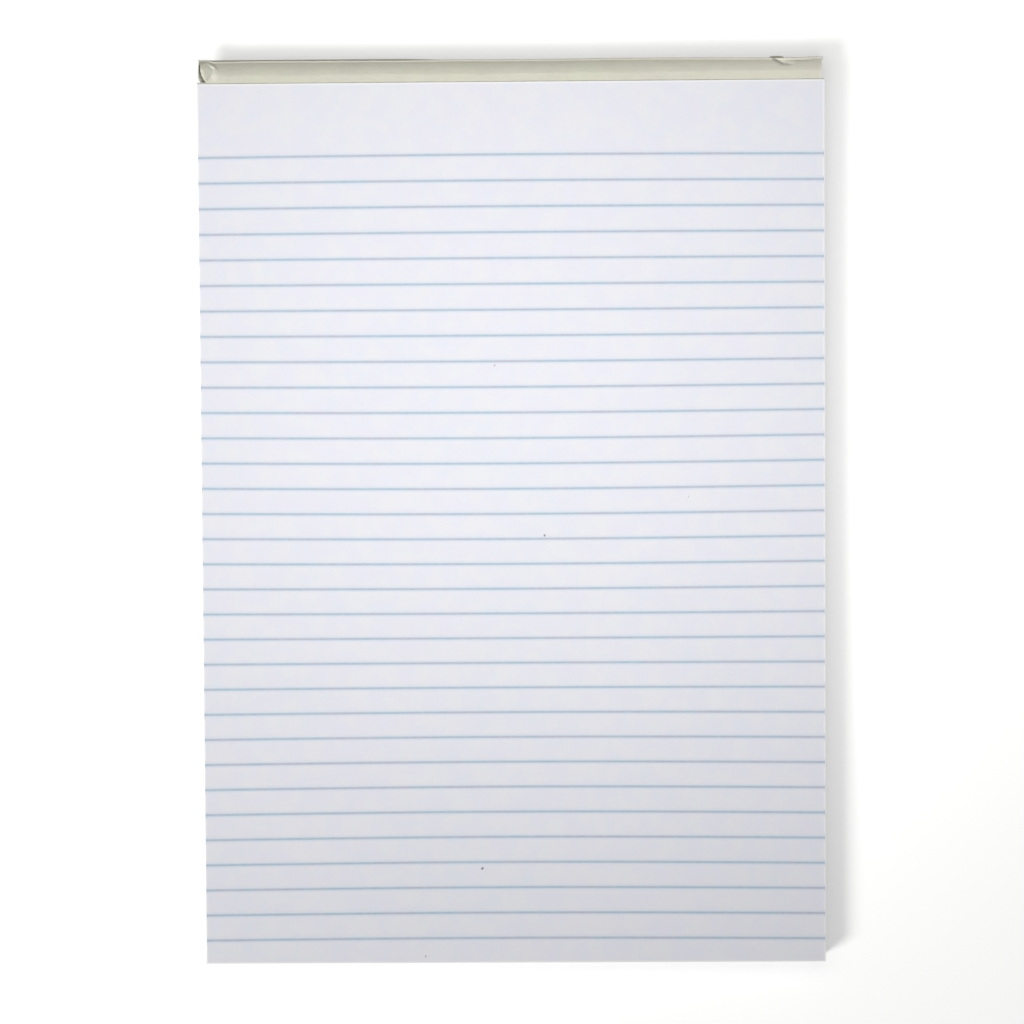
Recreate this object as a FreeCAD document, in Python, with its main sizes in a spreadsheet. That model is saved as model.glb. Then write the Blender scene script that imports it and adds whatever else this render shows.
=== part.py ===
"""A ruled writing pad, glued and bound along its head with a folded paper strip.

The pad lies on its back. X runs across the page, +Y up the page to the bound head, and +Z out
of the page. The origin is under the middle of the whole pad, on the surface that it lies on.
Lengths are in millimetres.
"""

import FreeCAD, Part
import os
from math import atan2, pi

import Sketcher
from FreeCAD import Vector

# Driving dimensions: alias, value and what it measures.
SIZES = [
    ("leaf_width", 210.0, "page width"),
    ("leaf_length", 297.0, "page length"),
    ("leaf_count", 80, "leaves in the block"),
    ("leaf_thickness", 0.1, "thickness of one leaf"),
    ("board_thickness", 0.9, "grey chipboard back"),
    ("glue_thickness", 0.8, "bead of padding compound on the head"),
    ("glue_round", 0.25, "rounding of the bead's two long edges"),
    ("strip_thickness", 0.25, "paper of the binding strip"),
    ("strip_reach", 8.4, "how far the strip bulges beyond the head, at its fullest"),
    ("strip_drop", 0.1, "the strip's front edge below the page's surface"),
    ("nose_drop", 2.3, "middle of the strip's nose below its front edge"),
    ("nose_round", 0.35, "inside radius of the nose"),
    ("roll_fullness", 0.9, "share of the room under the nose that the lower turn fills"),
    ("back_lap", 18.0, "strip under the board"),
    ("end_clearance", 0.2, "bare page beside each end of the strip's nose"),
    ("left_slant", 2.6, "how far the left end draws in towards the page"),
    ("right_slant", 1.2, "how far the right end draws in towards the page"),
    ("dent_start", 1.5, "crumpled corner: its crease starts this far beyond the head"),
    ("dent_turn", 56.0, "crumpled corner: angle of its crease to the head, in degrees"),
    ("dent_tilt", 25.0, "crumpled corner: how steeply its facet falls, in degrees"),
    ("line_width", 0.4, "ruled line"),
    ("ink_thickness", 0.02, "ruled line above the paper"),
    ("line_pitch", 8.53, "from one ruled line to the next"),
    ("head_margin", 24.4, "head of the leaf to the first line"),
    ("foot_margin", 8.0, "least bare paper under the last line"),
    ("overshoot", 4.0, "how far cutting shapes run past what they cut"),
]

# Lengths that follow from the driving dimensions, as expressions.
BLOCK = "(Sizes.leaf_count * Sizes.leaf_thickness)"
PAGE_TOP = f"(Sizes.strip_thickness + Sizes.board_thickness + {BLOCK})"
OVERALL = "(Sizes.leaf_length + Sizes.strip_reach)"
FOOT = f"(-{OVERALL} / 2)"
HEAD = f"({FOOT} + Sizes.leaf_length)"
PAGE_LEFT = "(-Sizes.leaf_width / 2)"
PAGE_RIGHT = "(Sizes.leaf_width / 2)"
BEAD_FACE = f"({HEAD} + Sizes.glue_thickness)"
STRIP_TOP = f"({PAGE_TOP} - Sizes.strip_drop)"
STRIP_REACH = f"({HEAD} + Sizes.strip_reach)"
STRIP_BACK = f"({HEAD} - Sizes.back_lap)"
STRIP_LEFT = f"({PAGE_LEFT} + Sizes.end_clearance)"
STRIP_RIGHT = f"({PAGE_RIGHT} - Sizes.end_clearance)"
NOSE_HEIGHT = f"({STRIP_TOP} - Sizes.nose_drop)"
NOSE_OUTSIDE = "(Sizes.nose_round + Sizes.strip_thickness)"
ROOM_BEYOND = "(Sizes.strip_reach - Sizes.glue_thickness)"
LOWER_TURN = f"(Sizes.roll_fullness * min({NOSE_HEIGHT}; {ROOM_BEYOND}))"
LINE_RUN = "(Sizes.leaf_length - Sizes.head_margin - Sizes.foot_margin)"
LINE_COUNT = f"(floor({LINE_RUN} / Sizes.line_pitch) + 1)"
LAST_LINE = f"({HEAD} - Sizes.head_margin - ({LINE_COUNT} - 1) * Sizes.line_pitch)"

doc = FreeCAD.newDocument("ruled_pad")

sheet = doc.addObject("Spreadsheet::Sheet", "Sizes")
for row, (alias, value, meaning) in enumerate(SIZES, start=1):
    sheet.set(f"A{row}", alias)
    sheet.set(f"B{row}", str(value))
    sheet.setAlias(f"B{row}", alias)
    sheet.set(f"C{row}", meaning)
doc.recompute()


def start_body(name):
    """An empty body whose label is the sub-part's name."""
    body = doc.addObject("PartDesign::Body", name)
    body.Label = name
    return body


def start_sketch(body, name, role):
    """A sketch on one of the body's own origin planes."""
    sketch = body.newObject("Sketcher::SketchObject", name)
    plane = next(item for item in body.Origin.OriginFeatures if item.Role == role)
    sketch.AttachmentSupport = [(plane, "")]
    sketch.MapMode = "FlatFace"
    return sketch


def bind(sketch, constraint, expression):
    """Add a dimension to the sketch and tie it to the sheet."""
    index = sketch.addConstraint(constraint)
    sketch.setExpression(f"Constraints[{index}]", expression)


def draw_outline(sketch, corners):
    """A closed outline of straight sides; each corner is a pair of expressions."""
    count = len(corners)
    places = [[evaluate(x), evaluate(y)] for x, y in corners]
    for index, (x, y) in enumerate(places):
        next_x, next_y = places[(index + 1) % count]
        sketch.addGeometry(Part.LineSegment(Vector(x, y, 0), Vector(next_x, next_y, 0)))
    for index in range(count):
        after = (index + 1) % count
        sketch.addConstraint(Sketcher.Constraint("Coincident", index, 2, after, 1))
    for index, (x, y) in enumerate(corners):
        value_x, value_y = places[index]
        bind(sketch, Sketcher.Constraint("DistanceX", -1, 1, index, 1, value_x), x)
        bind(sketch, Sketcher.Constraint("DistanceY", -1, 1, index, 1, value_y), y)


def evaluate(expression):
    """The present value of an expression on the sheet, as a plain number."""
    return float(sheet.evalExpression(expression.replace("Sizes.", "")))


def add_pad(body, sketch, name, length, midplane=False):
    """Raise a sketch into a solid."""
    pad = body.newObject("PartDesign::Pad", name)
    pad.Profile = sketch
    pad.SideType = "Symmetric" if midplane else "One side"
    pad.setExpression("Length", length)
    return pad


def lift(sketch, height):
    """Set a sketch off from its plane, along the plane's normal."""
    sketch.setExpression("AttachmentOffset.Base.z", height)


def make_slab(name, bottom, thickness):
    """A body of the page's outline with a given underside and thickness."""
    body = start_body(name)
    outline = start_sketch(body, name + "_outline", "XY_Plane")
    draw_outline(outline, [
        (PAGE_LEFT, FOOT),
        (PAGE_RIGHT, FOOT),
        (PAGE_RIGHT, HEAD),
        (PAGE_LEFT, HEAD),
    ])
    lift(outline, bottom)
    add_pad(body, outline, name + "_pad", thickness)
    return body


# The board lies on the strip's back flap, and the block of leaves on the board.
backing_board = make_slab("backing_board", "Sizes.strip_thickness", "Sizes.board_thickness")
ruled_sheets = make_slab("ruled_sheets", "(Sizes.strip_thickness + Sizes.board_thickness)", BLOCK)


EDGE_TOLERANCE = 0.001


def outer_long_edges(shape):
    """The edges that run along the pad's head at the shape's furthest reach."""
    reach = shape.BoundBox.YMax - EDGE_TOLERANCE
    return [
        f"Edge{number}"
        for number, edge in enumerate(shape.Edges, start=1)
        if edge.BoundBox.YMin > reach and edge.BoundBox.XLength > edge.BoundBox.ZLength
    ]


def make_head_glue():
    """The bead of padding compound over the heads of the leaves and the board."""
    body = start_body("head_glue")
    section = start_sketch(body, "glue_section", "YZ_Plane")
    seat = f"({STRIP_TOP} - Sizes.strip_thickness)"
    draw_outline(section, [
        (HEAD, "Sizes.strip_thickness"),
        (BEAD_FACE, "Sizes.strip_thickness"),
        (BEAD_FACE, seat),
        (HEAD, seat),
    ])
    bead = add_pad(body, section, "glue_pad", "Sizes.leaf_width", midplane=True)
    doc.recompute()
    rounding = body.newObject("PartDesign::Fillet", "glue_rounding")
    rounding.Base = (bead, outer_long_edges(bead.Shape))
    rounding.setExpression("Radius", "Sizes.glue_round")
    return body


head_glue = make_head_glue()


def make_ruled_lines():
    """The last printed line, repeated up the page to the first one under the head."""
    body = start_body("ruled_lines")
    body.AllowCompound = True
    low = f"({LAST_LINE} - Sizes.line_width / 2)"
    high = f"({LAST_LINE} + Sizes.line_width / 2)"
    outline = start_sketch(body, "line_outline", "XY_Plane")
    draw_outline(outline, [
        (PAGE_LEFT, low),
        (PAGE_RIGHT, low),
        (PAGE_RIGHT, high),
        (PAGE_LEFT, high),
    ])
    lift(outline, PAGE_TOP)
    line = add_pad(body, outline, "line_pad", "Sizes.ink_thickness")
    ruling = body.newObject("PartDesign::LinearPattern", "ruling")
    ruling.Originals = [line]
    ruling.Direction = (outline, ["V_Axis"])
    ruling.Mode = "Spacing"
    ruling.setExpression("Offset", "Sizes.line_pitch")
    ruling.setExpression("Occurrences", LINE_COUNT)
    body.Tip = ruling
    return body


ruled_lines = make_ruled_lines()


def draw_wrap(sketch, paper, corners):
    """The strip's section: over the bead, round the nose, down and back under the board.

    The paper is how deep the outline lies inside the strip's outer side. The corners close the
    outline from the flap's far edge under the board to the front edge at the head.
    """
    top, reach = f"({STRIP_TOP} - {paper})", f"({STRIP_REACH} - {paper})"
    nose, lower = f"({NOSE_OUTSIDE} - {paper})", f"({LOWER_TURN} - {paper})"
    lower_axis = f"({STRIP_REACH} - {LOWER_TURN})"
    nose_axis = f"({STRIP_REACH} - {NOSE_OUTSIDE})"
    fall_start, nose_y, nose_z = evaluate(BEAD_FACE), evaluate(nose_axis), evaluate(NOSE_HEIGHT)
    across, drop = nose_y - fall_start, evaluate(top) - nose_z
    nose_size, lower_size = evaluate(nose), evaluate(lower)
    fall = (across ** 2 + drop ** 2 - nose_size ** 2) / (2 * (drop - nose_size))
    fall_z = evaluate(top) - fall
    meeting = atan2(nose_z - fall_z, across)
    turn_y, turn_z = evaluate(lower_axis), evaluate(LOWER_TURN)
    arcs = [
        (fall_start, fall_z, fall, meeting, pi / 2),
        (nose_y, nose_z, nose_size, 0.0, meeting),
        (turn_y, turn_z, lower_size, -pi / 2, 0.0),
    ]
    for y, z, radius, start, end in arcs:
        circle = Part.Circle(Vector(y, z, 0), Vector(0, 0, 1), radius)
        sketch.addGeometry(Part.ArcOfCircle(circle, start, end))
    fall_arc, nose_arc, turn_arc, rise = range(4)
    reach_y = evaluate(reach)
    sketch.addGeometry(Part.LineSegment(Vector(reach_y, nose_z, 0), Vector(reach_y, turn_z, 0)))
    places = [(evaluate(y), evaluate(z)) for y, z in corners]
    ends = [(turn_y, turn_z - lower_size), *places, (fall_start, evaluate(top))]
    for first, second in zip(ends, ends[1:]):
        sketch.addGeometry(Part.LineSegment(Vector(*first, 0), Vector(*second, 0)))
    flap, front = rise + 1, rise + len(ends) - 1

    sketch.addConstraint([
        Sketcher.Constraint("Tangent", fall_arc, 1, nose_arc, 2),
        Sketcher.Constraint("Tangent", nose_arc, 1, rise, 1),
        Sketcher.Constraint("Tangent", rise, 2, turn_arc, 2),
        Sketcher.Constraint("Vertical", rise),
        Sketcher.Constraint("Coincident", turn_arc, 1, flap, 1),
        Sketcher.Constraint("Vertical", turn_arc, 1, turn_arc, 3),
        Sketcher.Constraint("Coincident", front, 2, fall_arc, 2),
        Sketcher.Constraint("Vertical", fall_arc, 2, fall_arc, 3),
    ])
    for side in range(flap, front):
        sketch.addConstraint(Sketcher.Constraint("Coincident", side, 2, side + 1, 1))
    bind(sketch, Sketcher.Constraint("DistanceX", -1, 1, nose_arc, 3, nose_y), nose_axis)
    bind(sketch, Sketcher.Constraint("DistanceY", -1, 1, nose_arc, 3, nose_z), NOSE_HEIGHT)
    bind(sketch, Sketcher.Constraint("Radius", nose_arc, nose_size), nose)
    bind(sketch, Sketcher.Constraint("DistanceY", -1, 1, turn_arc, 3, turn_z), LOWER_TURN)
    bind(sketch, Sketcher.Constraint("Radius", turn_arc, lower_size), lower)
    bind(sketch, Sketcher.Constraint("DistanceX", -1, 1, fall_arc, 2, fall_start), BEAD_FACE)
    bind(sketch, Sketcher.Constraint("DistanceY", -1, 1, fall_arc, 2, evaluate(top)), top)
    for side, (y, z) in enumerate(corners, start=flap):
        value_y, value_z = places[side - flap]
        bind(sketch, Sketcher.Constraint("DistanceX", -1, 1, side, 2, value_y), y)
        bind(sketch, Sketcher.Constraint("DistanceY", -1, 1, side, 2, value_z), z)


def cut_slant(body, name, end, inwards, outwards):
    """Draw one end of the strip's front in towards the page, from the nose to the head."""
    below = f"({HEAD} - Sizes.overshoot)"
    outline = start_sketch(body, name + "_outline", "XY_Plane")
    draw_outline(outline, [
        (end, STRIP_REACH),
        (inwards, HEAD),
        (inwards, below),
        (outwards, below),
        (outwards, STRIP_REACH),
    ])
    lift(outline, NOSE_HEIGHT)
    pocket = body.newObject("PartDesign::Pocket", name)
    pocket.Profile = outline
    pocket.Type = "ThroughAll"
    pocket.Reversed = True
    return pocket


def make_strip_outside():
    """The wrap as if it were filled, with both ends cut on their slant."""
    body = start_body("strip_outside")
    section = start_sketch(body, "outside_section", "YZ_Plane")
    draw_wrap(section, "0", [
        (STRIP_BACK, "0"),
        (STRIP_BACK, "Sizes.strip_thickness"),
        (HEAD, "Sizes.strip_thickness"),
        (HEAD, STRIP_TOP),
    ])
    lift(section, STRIP_LEFT)
    add_pad(body, section, "outside_pad", f"({STRIP_RIGHT} - {STRIP_LEFT})")
    cut_slant(body, "left_cut", STRIP_LEFT,
              f"({STRIP_LEFT} + Sizes.left_slant)", f"({STRIP_LEFT} - Sizes.overshoot)")
    cut_slant(body, "right_cut", STRIP_RIGHT,
              f"({STRIP_RIGHT} - Sizes.right_slant)", f"({STRIP_RIGHT} + Sizes.overshoot)")
    return body


def make_strip_inside():
    """What the wrap goes round: the pad's head, and the hollow of the roll beyond it."""
    body = start_body("strip_inside")
    open_edge = f"({STRIP_BACK} - Sizes.overshoot)"
    section = start_sketch(body, "inside_section", "YZ_Plane")
    draw_wrap(section, "Sizes.strip_thickness", [
        (open_edge, "Sizes.strip_thickness"),
        (open_edge, f"({STRIP_TOP} - Sizes.strip_thickness)"),
    ])
    lift(section, f"({STRIP_LEFT} - Sizes.overshoot)")
    length = f"({STRIP_RIGHT} - {STRIP_LEFT} + 2 * Sizes.overshoot)"
    add_pad(body, section, "inside_pad", length)
    return body


def make_dent(name, depth):
    """A block over the crumpled corner; its underside is the plane of the corner's facet.

    The facet turns down along a crease that starts near the inner corner of the strip's left
    end. The depth is measured square to the facet, so that the paper keeps its thickness there.
    """
    turn, tilt = "(Sizes.dent_turn * 1deg)", "(Sizes.dent_tilt * 1deg)"
    along_x, along_y = f"cos({turn})", f"sin({turn})"
    sink = f"({depth} * sin({tilt}))"
    block = doc.addObject("Part::Box", name)
    for side in ("Length", "Width", "Height"):
        block.setExpression(side, "(2 * Sizes.strip_reach + 2 * Sizes.overshoot)")
    crease_x = f"({STRIP_LEFT} + Sizes.left_slant)"
    crease_y = f"({HEAD} + Sizes.dent_start)"
    x = f"({crease_x} - Sizes.overshoot * {along_x} + {sink} * {along_y})"
    y = f"({crease_y} - Sizes.overshoot * {along_y} - {sink} * {along_x})"
    z = f"({STRIP_TOP} - {depth} * cos({tilt}))"
    rotation = "rotation(Sizes.dent_turn; 0; -Sizes.dent_tilt)"
    block.setExpression("Placement", f"placement(vector({x}; {y}; {z}); {rotation})")
    return block


def cut(name, base, tool):
    """One solid less another."""
    result = doc.addObject("Part::Cut", name)
    result.Base = base
    result.Tool = tool
    return result


# The strip is one thickness of paper between its outside and what it goes round.
strip_outside = cut("dented_outside", make_strip_outside(), make_dent("outer_dent", "0"))
inner_dent = make_dent("inner_dent", "Sizes.strip_thickness")
strip_inside = cut("dented_inside", make_strip_inside(), inner_dent)
binding_strip = cut("binding_strip", strip_outside, strip_inside)
binding_strip.Label = "binding_strip"

doc.recompute()

SUB_PARTS = [backing_board, ruled_sheets, head_glue, ruled_lines, binding_strip]

for item in doc.Objects:
    if "Invalid" in item.State or "Error" in item.State:
        raise RuntimeError(f"{item.Label} was not made: {item.State}")
for part in SUB_PARTS:
    if part.Shape.isNull() or not part.Shape.isValid():
        raise RuntimeError(f"{part.Label} has no sound shape")

os.makedirs("parts", exist_ok=True)
for part in SUB_PARTS:
    part.Shape.exportStep(os.path.join("parts", part.Label + ".step"))
    box = part.Shape.BoundBox
    print(f"{part.Label}: {len(part.Shape.Solids)} solid(s), {part.Shape.Volume:.1f} cubic mm,"
          f" {box.XLength:.2f} x {box.YLength:.2f} x {box.ZLength:.2f}")
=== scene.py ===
# %% [markdown]
# # A ruled writing pad, bound along its head
#
# The real pad is a block of loose white leaves on a grey chipboard back. A bead of padding
# compound holds the leaves together at the head, and a folded strip of cream-grey paper wraps the
# head from the board round to the page. This file dresses the measured model of the pad: each
# piece gets a finer mesh and a procedural finish, in the model's own frame and in metres.

# %% The measured model
import math

import bpy
import numpy as np
from mathutils import Euler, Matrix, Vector


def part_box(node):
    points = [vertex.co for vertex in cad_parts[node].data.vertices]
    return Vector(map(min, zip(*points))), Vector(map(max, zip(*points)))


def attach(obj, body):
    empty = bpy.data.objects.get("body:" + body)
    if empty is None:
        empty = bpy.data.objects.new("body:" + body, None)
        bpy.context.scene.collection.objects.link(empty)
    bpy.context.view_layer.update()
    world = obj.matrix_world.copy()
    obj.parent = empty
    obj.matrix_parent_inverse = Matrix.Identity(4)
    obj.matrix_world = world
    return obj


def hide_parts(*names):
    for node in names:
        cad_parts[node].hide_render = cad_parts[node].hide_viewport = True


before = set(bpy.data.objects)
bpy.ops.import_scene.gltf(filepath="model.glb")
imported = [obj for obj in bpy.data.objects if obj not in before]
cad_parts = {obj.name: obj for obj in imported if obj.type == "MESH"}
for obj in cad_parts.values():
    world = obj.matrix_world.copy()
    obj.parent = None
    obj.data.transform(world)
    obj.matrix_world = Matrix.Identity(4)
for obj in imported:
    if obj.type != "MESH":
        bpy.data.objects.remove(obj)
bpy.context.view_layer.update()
print("nodes:", sorted(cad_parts))

# %% [markdown]
# ## Sizes
#
# Almost every size is read from the model, so that a piece can't drift from what carries it. The
# few that a box can't tell, such as the thickness of the strip's paper, are named here.

# %% Sizes in metres
MM = 0.001
block_low, block_high = (Vector(corner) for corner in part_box("ruled_sheets"))
board_low, board_high = (Vector(corner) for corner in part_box("backing_board"))
strip_low, strip_high = (Vector(corner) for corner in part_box("binding_strip"))
bead_low, bead_high = (Vector(corner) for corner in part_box("head_glue"))
lines_low, lines_high = (Vector(corner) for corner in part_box("ruled_lines"))
ink_lift = lines_high.z - block_high.z
page_middle = (block_low + block_high) / 2
head = block_high.y
print(f"page {block_high.x - block_low.x:.4f} x {block_high.y - block_low.y:.4f} m,"
      f" strip {strip_high.y - head:.4f} m beyond the head")

# %% [markdown]
# ## Writing shader maths as Python
#
# A material is a graph of nodes, and a long list of node links is hard to read. `Wire` wraps one
# output of a node and overloads plus and times, so `0.8 + patchy * 0.2` lays down its own Math
# nodes. Every other node comes from `Nodes.add`, which sets the node's own settings first and
# then its sockets.


# %% Wires and finishes
class Wire:
    """A changing value in a node tree. Arithmetic on it adds Math nodes."""

    def __init__(self, nodes, socket):
        self.nodes = nodes
        self.socket = socket

    def math(self, operation, first, second):
        return self.nodes.add("Math", {"operation": operation}, {0: first, 1: second})

    def __add__(self, other):
        return self.math("ADD", self, other)

    def __mul__(self, other):
        return self.math("MULTIPLY", self, other)

    __radd__ = __add__


class Nodes:
    """A node tree, built up one node at a time."""

    def __init__(self, tree):
        self.tree = tree

    def put(self, socket, value):
        if isinstance(value, Wire):
            self.tree.links.new(value.socket, socket)
        elif isinstance(value, tuple) and len(value) == 3 and socket.type == "RGBA":
            socket.default_value = (*value, 1.0)
        else:
            socket.default_value = value

    def add(self, kind, settings=None, values=None, output=0):
        node = self.tree.nodes.new("ShaderNode" + kind)
        for name, setting in (settings or {}).items():
            setattr(node, name, setting)
        for key, value in (values or {}).items():
            self.put(node.inputs[key], value)
        return Wire(self, node.outputs[output])

    def blend(self, factor, first, second):
        """Mixes two colours."""
        return self.add("Mix", {"data_type": "RGBA"}, {0: factor, 6: first, 7: second}, output=2)

    def seen(self):
        """1 where a ray comes from the camera, directly or by a mirror or glass, and else 0."""
        rays = [self.add("LightPath", output=name) for name in RAYS_THAT_SEE]
        return self.add("Math", {"operation": "MINIMUM"}, {0: rays[0] + rays[1] + rays[2], 1: 1.0})


RAYS_THAT_SEE = ("Is Camera Ray", "Is Glossy Ray", "Is Transmission Ray")


class Finish(Nodes):
    """A material with one Principled shader."""

    def __init__(self, name, roughness=0.8, specular=0.3):
        self.material = bpy.data.materials.new(name)
        self.material.use_nodes = True
        super().__init__(self.material.node_tree)
        self.shader = self.tree.nodes["Principled BSDF"]
        self.shader.inputs["Roughness"].default_value = roughness
        self.shader.inputs["Specular IOR Level"].default_value = specular

    def place(self, stretch=(1.0, 1.0, 1.0)):
        """The pad's own coordinates in metres, stretched along each axis."""
        spot = self.add("TexCoord", output=3)
        settings = {"operation": "MULTIPLY"}
        return self.add("VectorMath", settings, {0: spot, 1: stretch})

    def noise(self, grain, detail=3.0, rough=0.55, stretch=(1.0, 1.0, 1.0), seed=0.0):
        """Noise with grains of about the given size in metres, from 0 to 1."""
        values = {
            "Vector": self.place(stretch), "W": seed, "Scale": 1 / grain,
            "Detail": detail, "Roughness": rough,
        }
        return self.add("TexNoise", {"noise_dimensions": "4D"}, values)

    def ramp(self, value, low, high):
        """Runs smoothly from 0 at low to 1 at high."""
        settings = {"interpolation_type": "SMOOTHSTEP"}
        return self.add("MapRange", settings, {"Value": value, "From Min": low, "From Max": high})

    def label(self, name):
        """A value that the mesh carries on its points, such as how much rubbed paper and painted
        highlight each point has.
        """
        return self.add("Attribute", {"attribute_name": name}, output=2)

    def finish(self, colour, height=None, depth=0.0):
        """Connects the colour, and a height map whose full range is depth metres."""
        self.put(self.shader.inputs["Base Color"], colour)
        if height is not None:
            bump = self.add("Bump", None, {"Strength": 1.0, "Distance": depth, "Height": height})
            self.put(self.shader.inputs["Normal"], bump)
        return self.material


print("finishes are built from wires")

# %% [markdown]
# ## The table, the light and the camera
#
# The pad is seen from straight above, so the floor fills the picture. Its paint is a pale grey
# that lights the pad's sides a little. Rays from the camera see some white added to it, so the
# floor shows nearly white and still keeps the pad's soft shadow. The world does the same.

# %% Floor
FLOOR_SIZE = 6.0
FLOOR_COLOUR = (0.80, 0.80, 0.79)
FLOOR_WHITE = 0.42
floor_mesh = bpy.data.meshes.new("floor")
half = FLOOR_SIZE / 2
floor_mesh.from_pydata([(-half, -half, 0), (half, -half, 0), (half, half, 0), (-half, half, 0)],
                       [], [(0, 1, 2, 3)])
floor = bpy.data.objects.new("floor", floor_mesh)
bpy.context.collection.objects.link(floor)
floor_finish = Finish("floor_paint", roughness=0.9, specular=0.1)
floor_glow = floor_finish.blend(floor_finish.seen(), (0.0, 0.0, 0.0), (FLOOR_WHITE,) * 3)
floor_finish.put(floor_finish.shader.inputs["Emission Color"], floor_glow)
floor_finish.shader.inputs["Emission Strength"].default_value = 1.0
floor_mesh.materials.append(floor_finish.finish(FLOOR_COLOUR))
print("floor", FLOOR_SIZE, "m across")

# %% [markdown]
# The light is soft. A broad lamp hangs low over the upper half of the page, so the page falls off
# gently towards its foot. The rest comes from a second lamp, beyond the foot on the left: it is
# low enough for the strip's far slope to turn away from it, and for creases to show.
# Both lamps are hidden from the camera, because one hangs between it and the pad.


# %% Lamps
def add_lamp(name, place, aim, size, power):
    """A square area lamp that points from its place to its aim."""
    lamp = bpy.data.lights.new(name, "AREA")
    lamp.shape = "SQUARE"
    lamp.size = size
    lamp.energy = power
    holder = bpy.data.objects.new(name, lamp)
    holder.location = place
    holder.rotation_euler = (Vector(aim) - Vector(place)).to_track_quat("-Z", "Y").to_euler()
    holder.visible_camera = False
    bpy.context.collection.objects.link(holder)


add_lamp("overhead", place=(0.019, 0.079, 0.275), aim=(0.036, 0.225, 0.0), size=0.34, power=0.61)
add_lamp("foot_side", place=(-0.95, -0.80, 0.95), aim=(0.0, 0.0, 0.0), size=0.5, power=18.2)
WORLD_LEVEL = 0.08
world = bpy.data.worlds.new("studio")
bpy.context.scene.world = world
world.use_nodes = True
sky = Nodes(world.node_tree)
sky_colour = sky.blend(sky.seen(), (WORLD_LEVEL,) * 3, (1.0, 1.0, 1.0))
sky.put(world.node_tree.nodes["Background"].inputs["Color"], sky_colour)
bpy.context.scene.view_settings.view_transform = "Standard"
print("world", WORLD_LEVEL, "and two lamps")

# %% [markdown]
# The camera hangs 0.7 m above the page and aims just above its middle. It is turned by the small
# angles at which the page's four corners and its ruling fall where they do in the picture.

# %% Camera
CAMERA_DISTANCE = 0.7
CAMERA_TILT = (-1.831, 0.58, -0.368)
CAMERA_AIM = (-0.000307, 0.004463)
CAMERA_LENS = 73.078
lens = bpy.data.cameras.new("overhead_camera")
lens.lens = CAMERA_LENS
lens.sensor_width = 36.0
camera = bpy.data.objects.new("overhead_camera", lens)
camera.rotation_euler = Euler([math.radians(angle) for angle in CAMERA_TILT], "XYZ")
away = camera.rotation_euler.to_matrix() @ Vector((0, 0, CAMERA_DISTANCE))
aim = Vector((page_middle.x + CAMERA_AIM[0], page_middle.y + CAMERA_AIM[1], block_high.z))
camera.location = aim + away
bpy.context.collection.objects.link(camera)
bpy.context.scene.camera = camera
print("camera at", tuple(round(value, 3) for value in camera.location))

# %% [markdown]
# ## Making a mesh from a grid
#
# Every sheet here is a grid of points that a function has placed. `grid_faces` gives the faces of
# such a grid, and `add_piece` turns points and faces into an object that rides with the pad.


# %% Mesh helpers
SHARP_ANGLE = math.radians(50)


def grid_faces(rows, columns, start=0, flip=False):
    """The faces of a grid whose points are listed row by row."""
    faces = []
    for row in range(rows - 1):
        for column in range(columns - 1):
            corner = start + row * columns + column
            face = (corner, corner + 1, corner + columns + 1, corner + columns)
            faces.append(face[::-1] if flip else face)
    return faces


def add_piece(name, points, faces, materials, replaces=()):
    """A mesh object that rides with the pad, with the given finishes, and hides the model's parts
    that it replaces.
    """
    mesh = bpy.data.meshes.new(name)
    mesh.from_pydata([tuple(float(value) for value in point) for point in points], [], faces)
    mesh.validate()
    for material in materials:
        mesh.materials.append(material)
    piece = bpy.data.objects.new(name, mesh)
    bpy.context.collection.objects.link(piece)
    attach(piece, "root")
    if replaces:
        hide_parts(*replaces)
    print(f"{name}: {len(mesh.vertices)} points, {len(mesh.polygons)} faces")
    return piece


def carry(piece, name, values):
    """Stores one number on each point of a mesh, for its material to read."""
    layer = piece.data.attributes.new(name, "FLOAT", "POINT")
    layer.data.foreach_set("value", np.asarray(values, dtype=np.float32))


def smooth(piece):
    """Shades every face smooth, and keeps cut edges sharp."""
    piece.data.polygons.foreach_set("use_smooth", [True] * len(piece.data.polygons))
    piece.data.set_sharp_from_angle(angle=SHARP_ANGLE)


print("helpers ready")

# %% [markdown]
# ## The page's surface
#
# A pad that has been handled isn't quite flat. Its block is pressed a little lower along the cut
# sides and the foot, and the page between them cockles by a few hundredths of a millimetre. At
# the head the glue holds it flat. One function gives that relief, and the leaves, the ruling and
# the dirt all read it, so none of them can float or sink.

# %% Relief of the page
EDGE_SINK = 0.22 * MM
EDGE_REACH = 0.07
COCKLE = 0.05 * MM


def rise(value):
    """A smooth step from 0 to 1."""
    value = min(max(value, 0.0), 1.0)
    return value * value * (3 - 2 * value)


def page_sink(x, y):
    """How far the top of the block lies below its nominal height, in metres."""
    side = rise((abs(x) - (block_high.x - EDGE_REACH)) / EDGE_REACH)
    foot = rise((block_low.y + EDGE_REACH - y) / EDGE_REACH)
    held = rise((head - y) / EDGE_REACH)
    wave = math.sin(41 * x + 23 * y + 0.6) * math.sin(19 * x - 37 * y + 1.9)
    return held * (EDGE_SINK * max(side, foot) + COCKLE * (0.5 + 0.5 * wave))


print(f"the page sinks {page_sink(block_high.x, block_low.y) / MM:.2f} mm at its foot corner")
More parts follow.
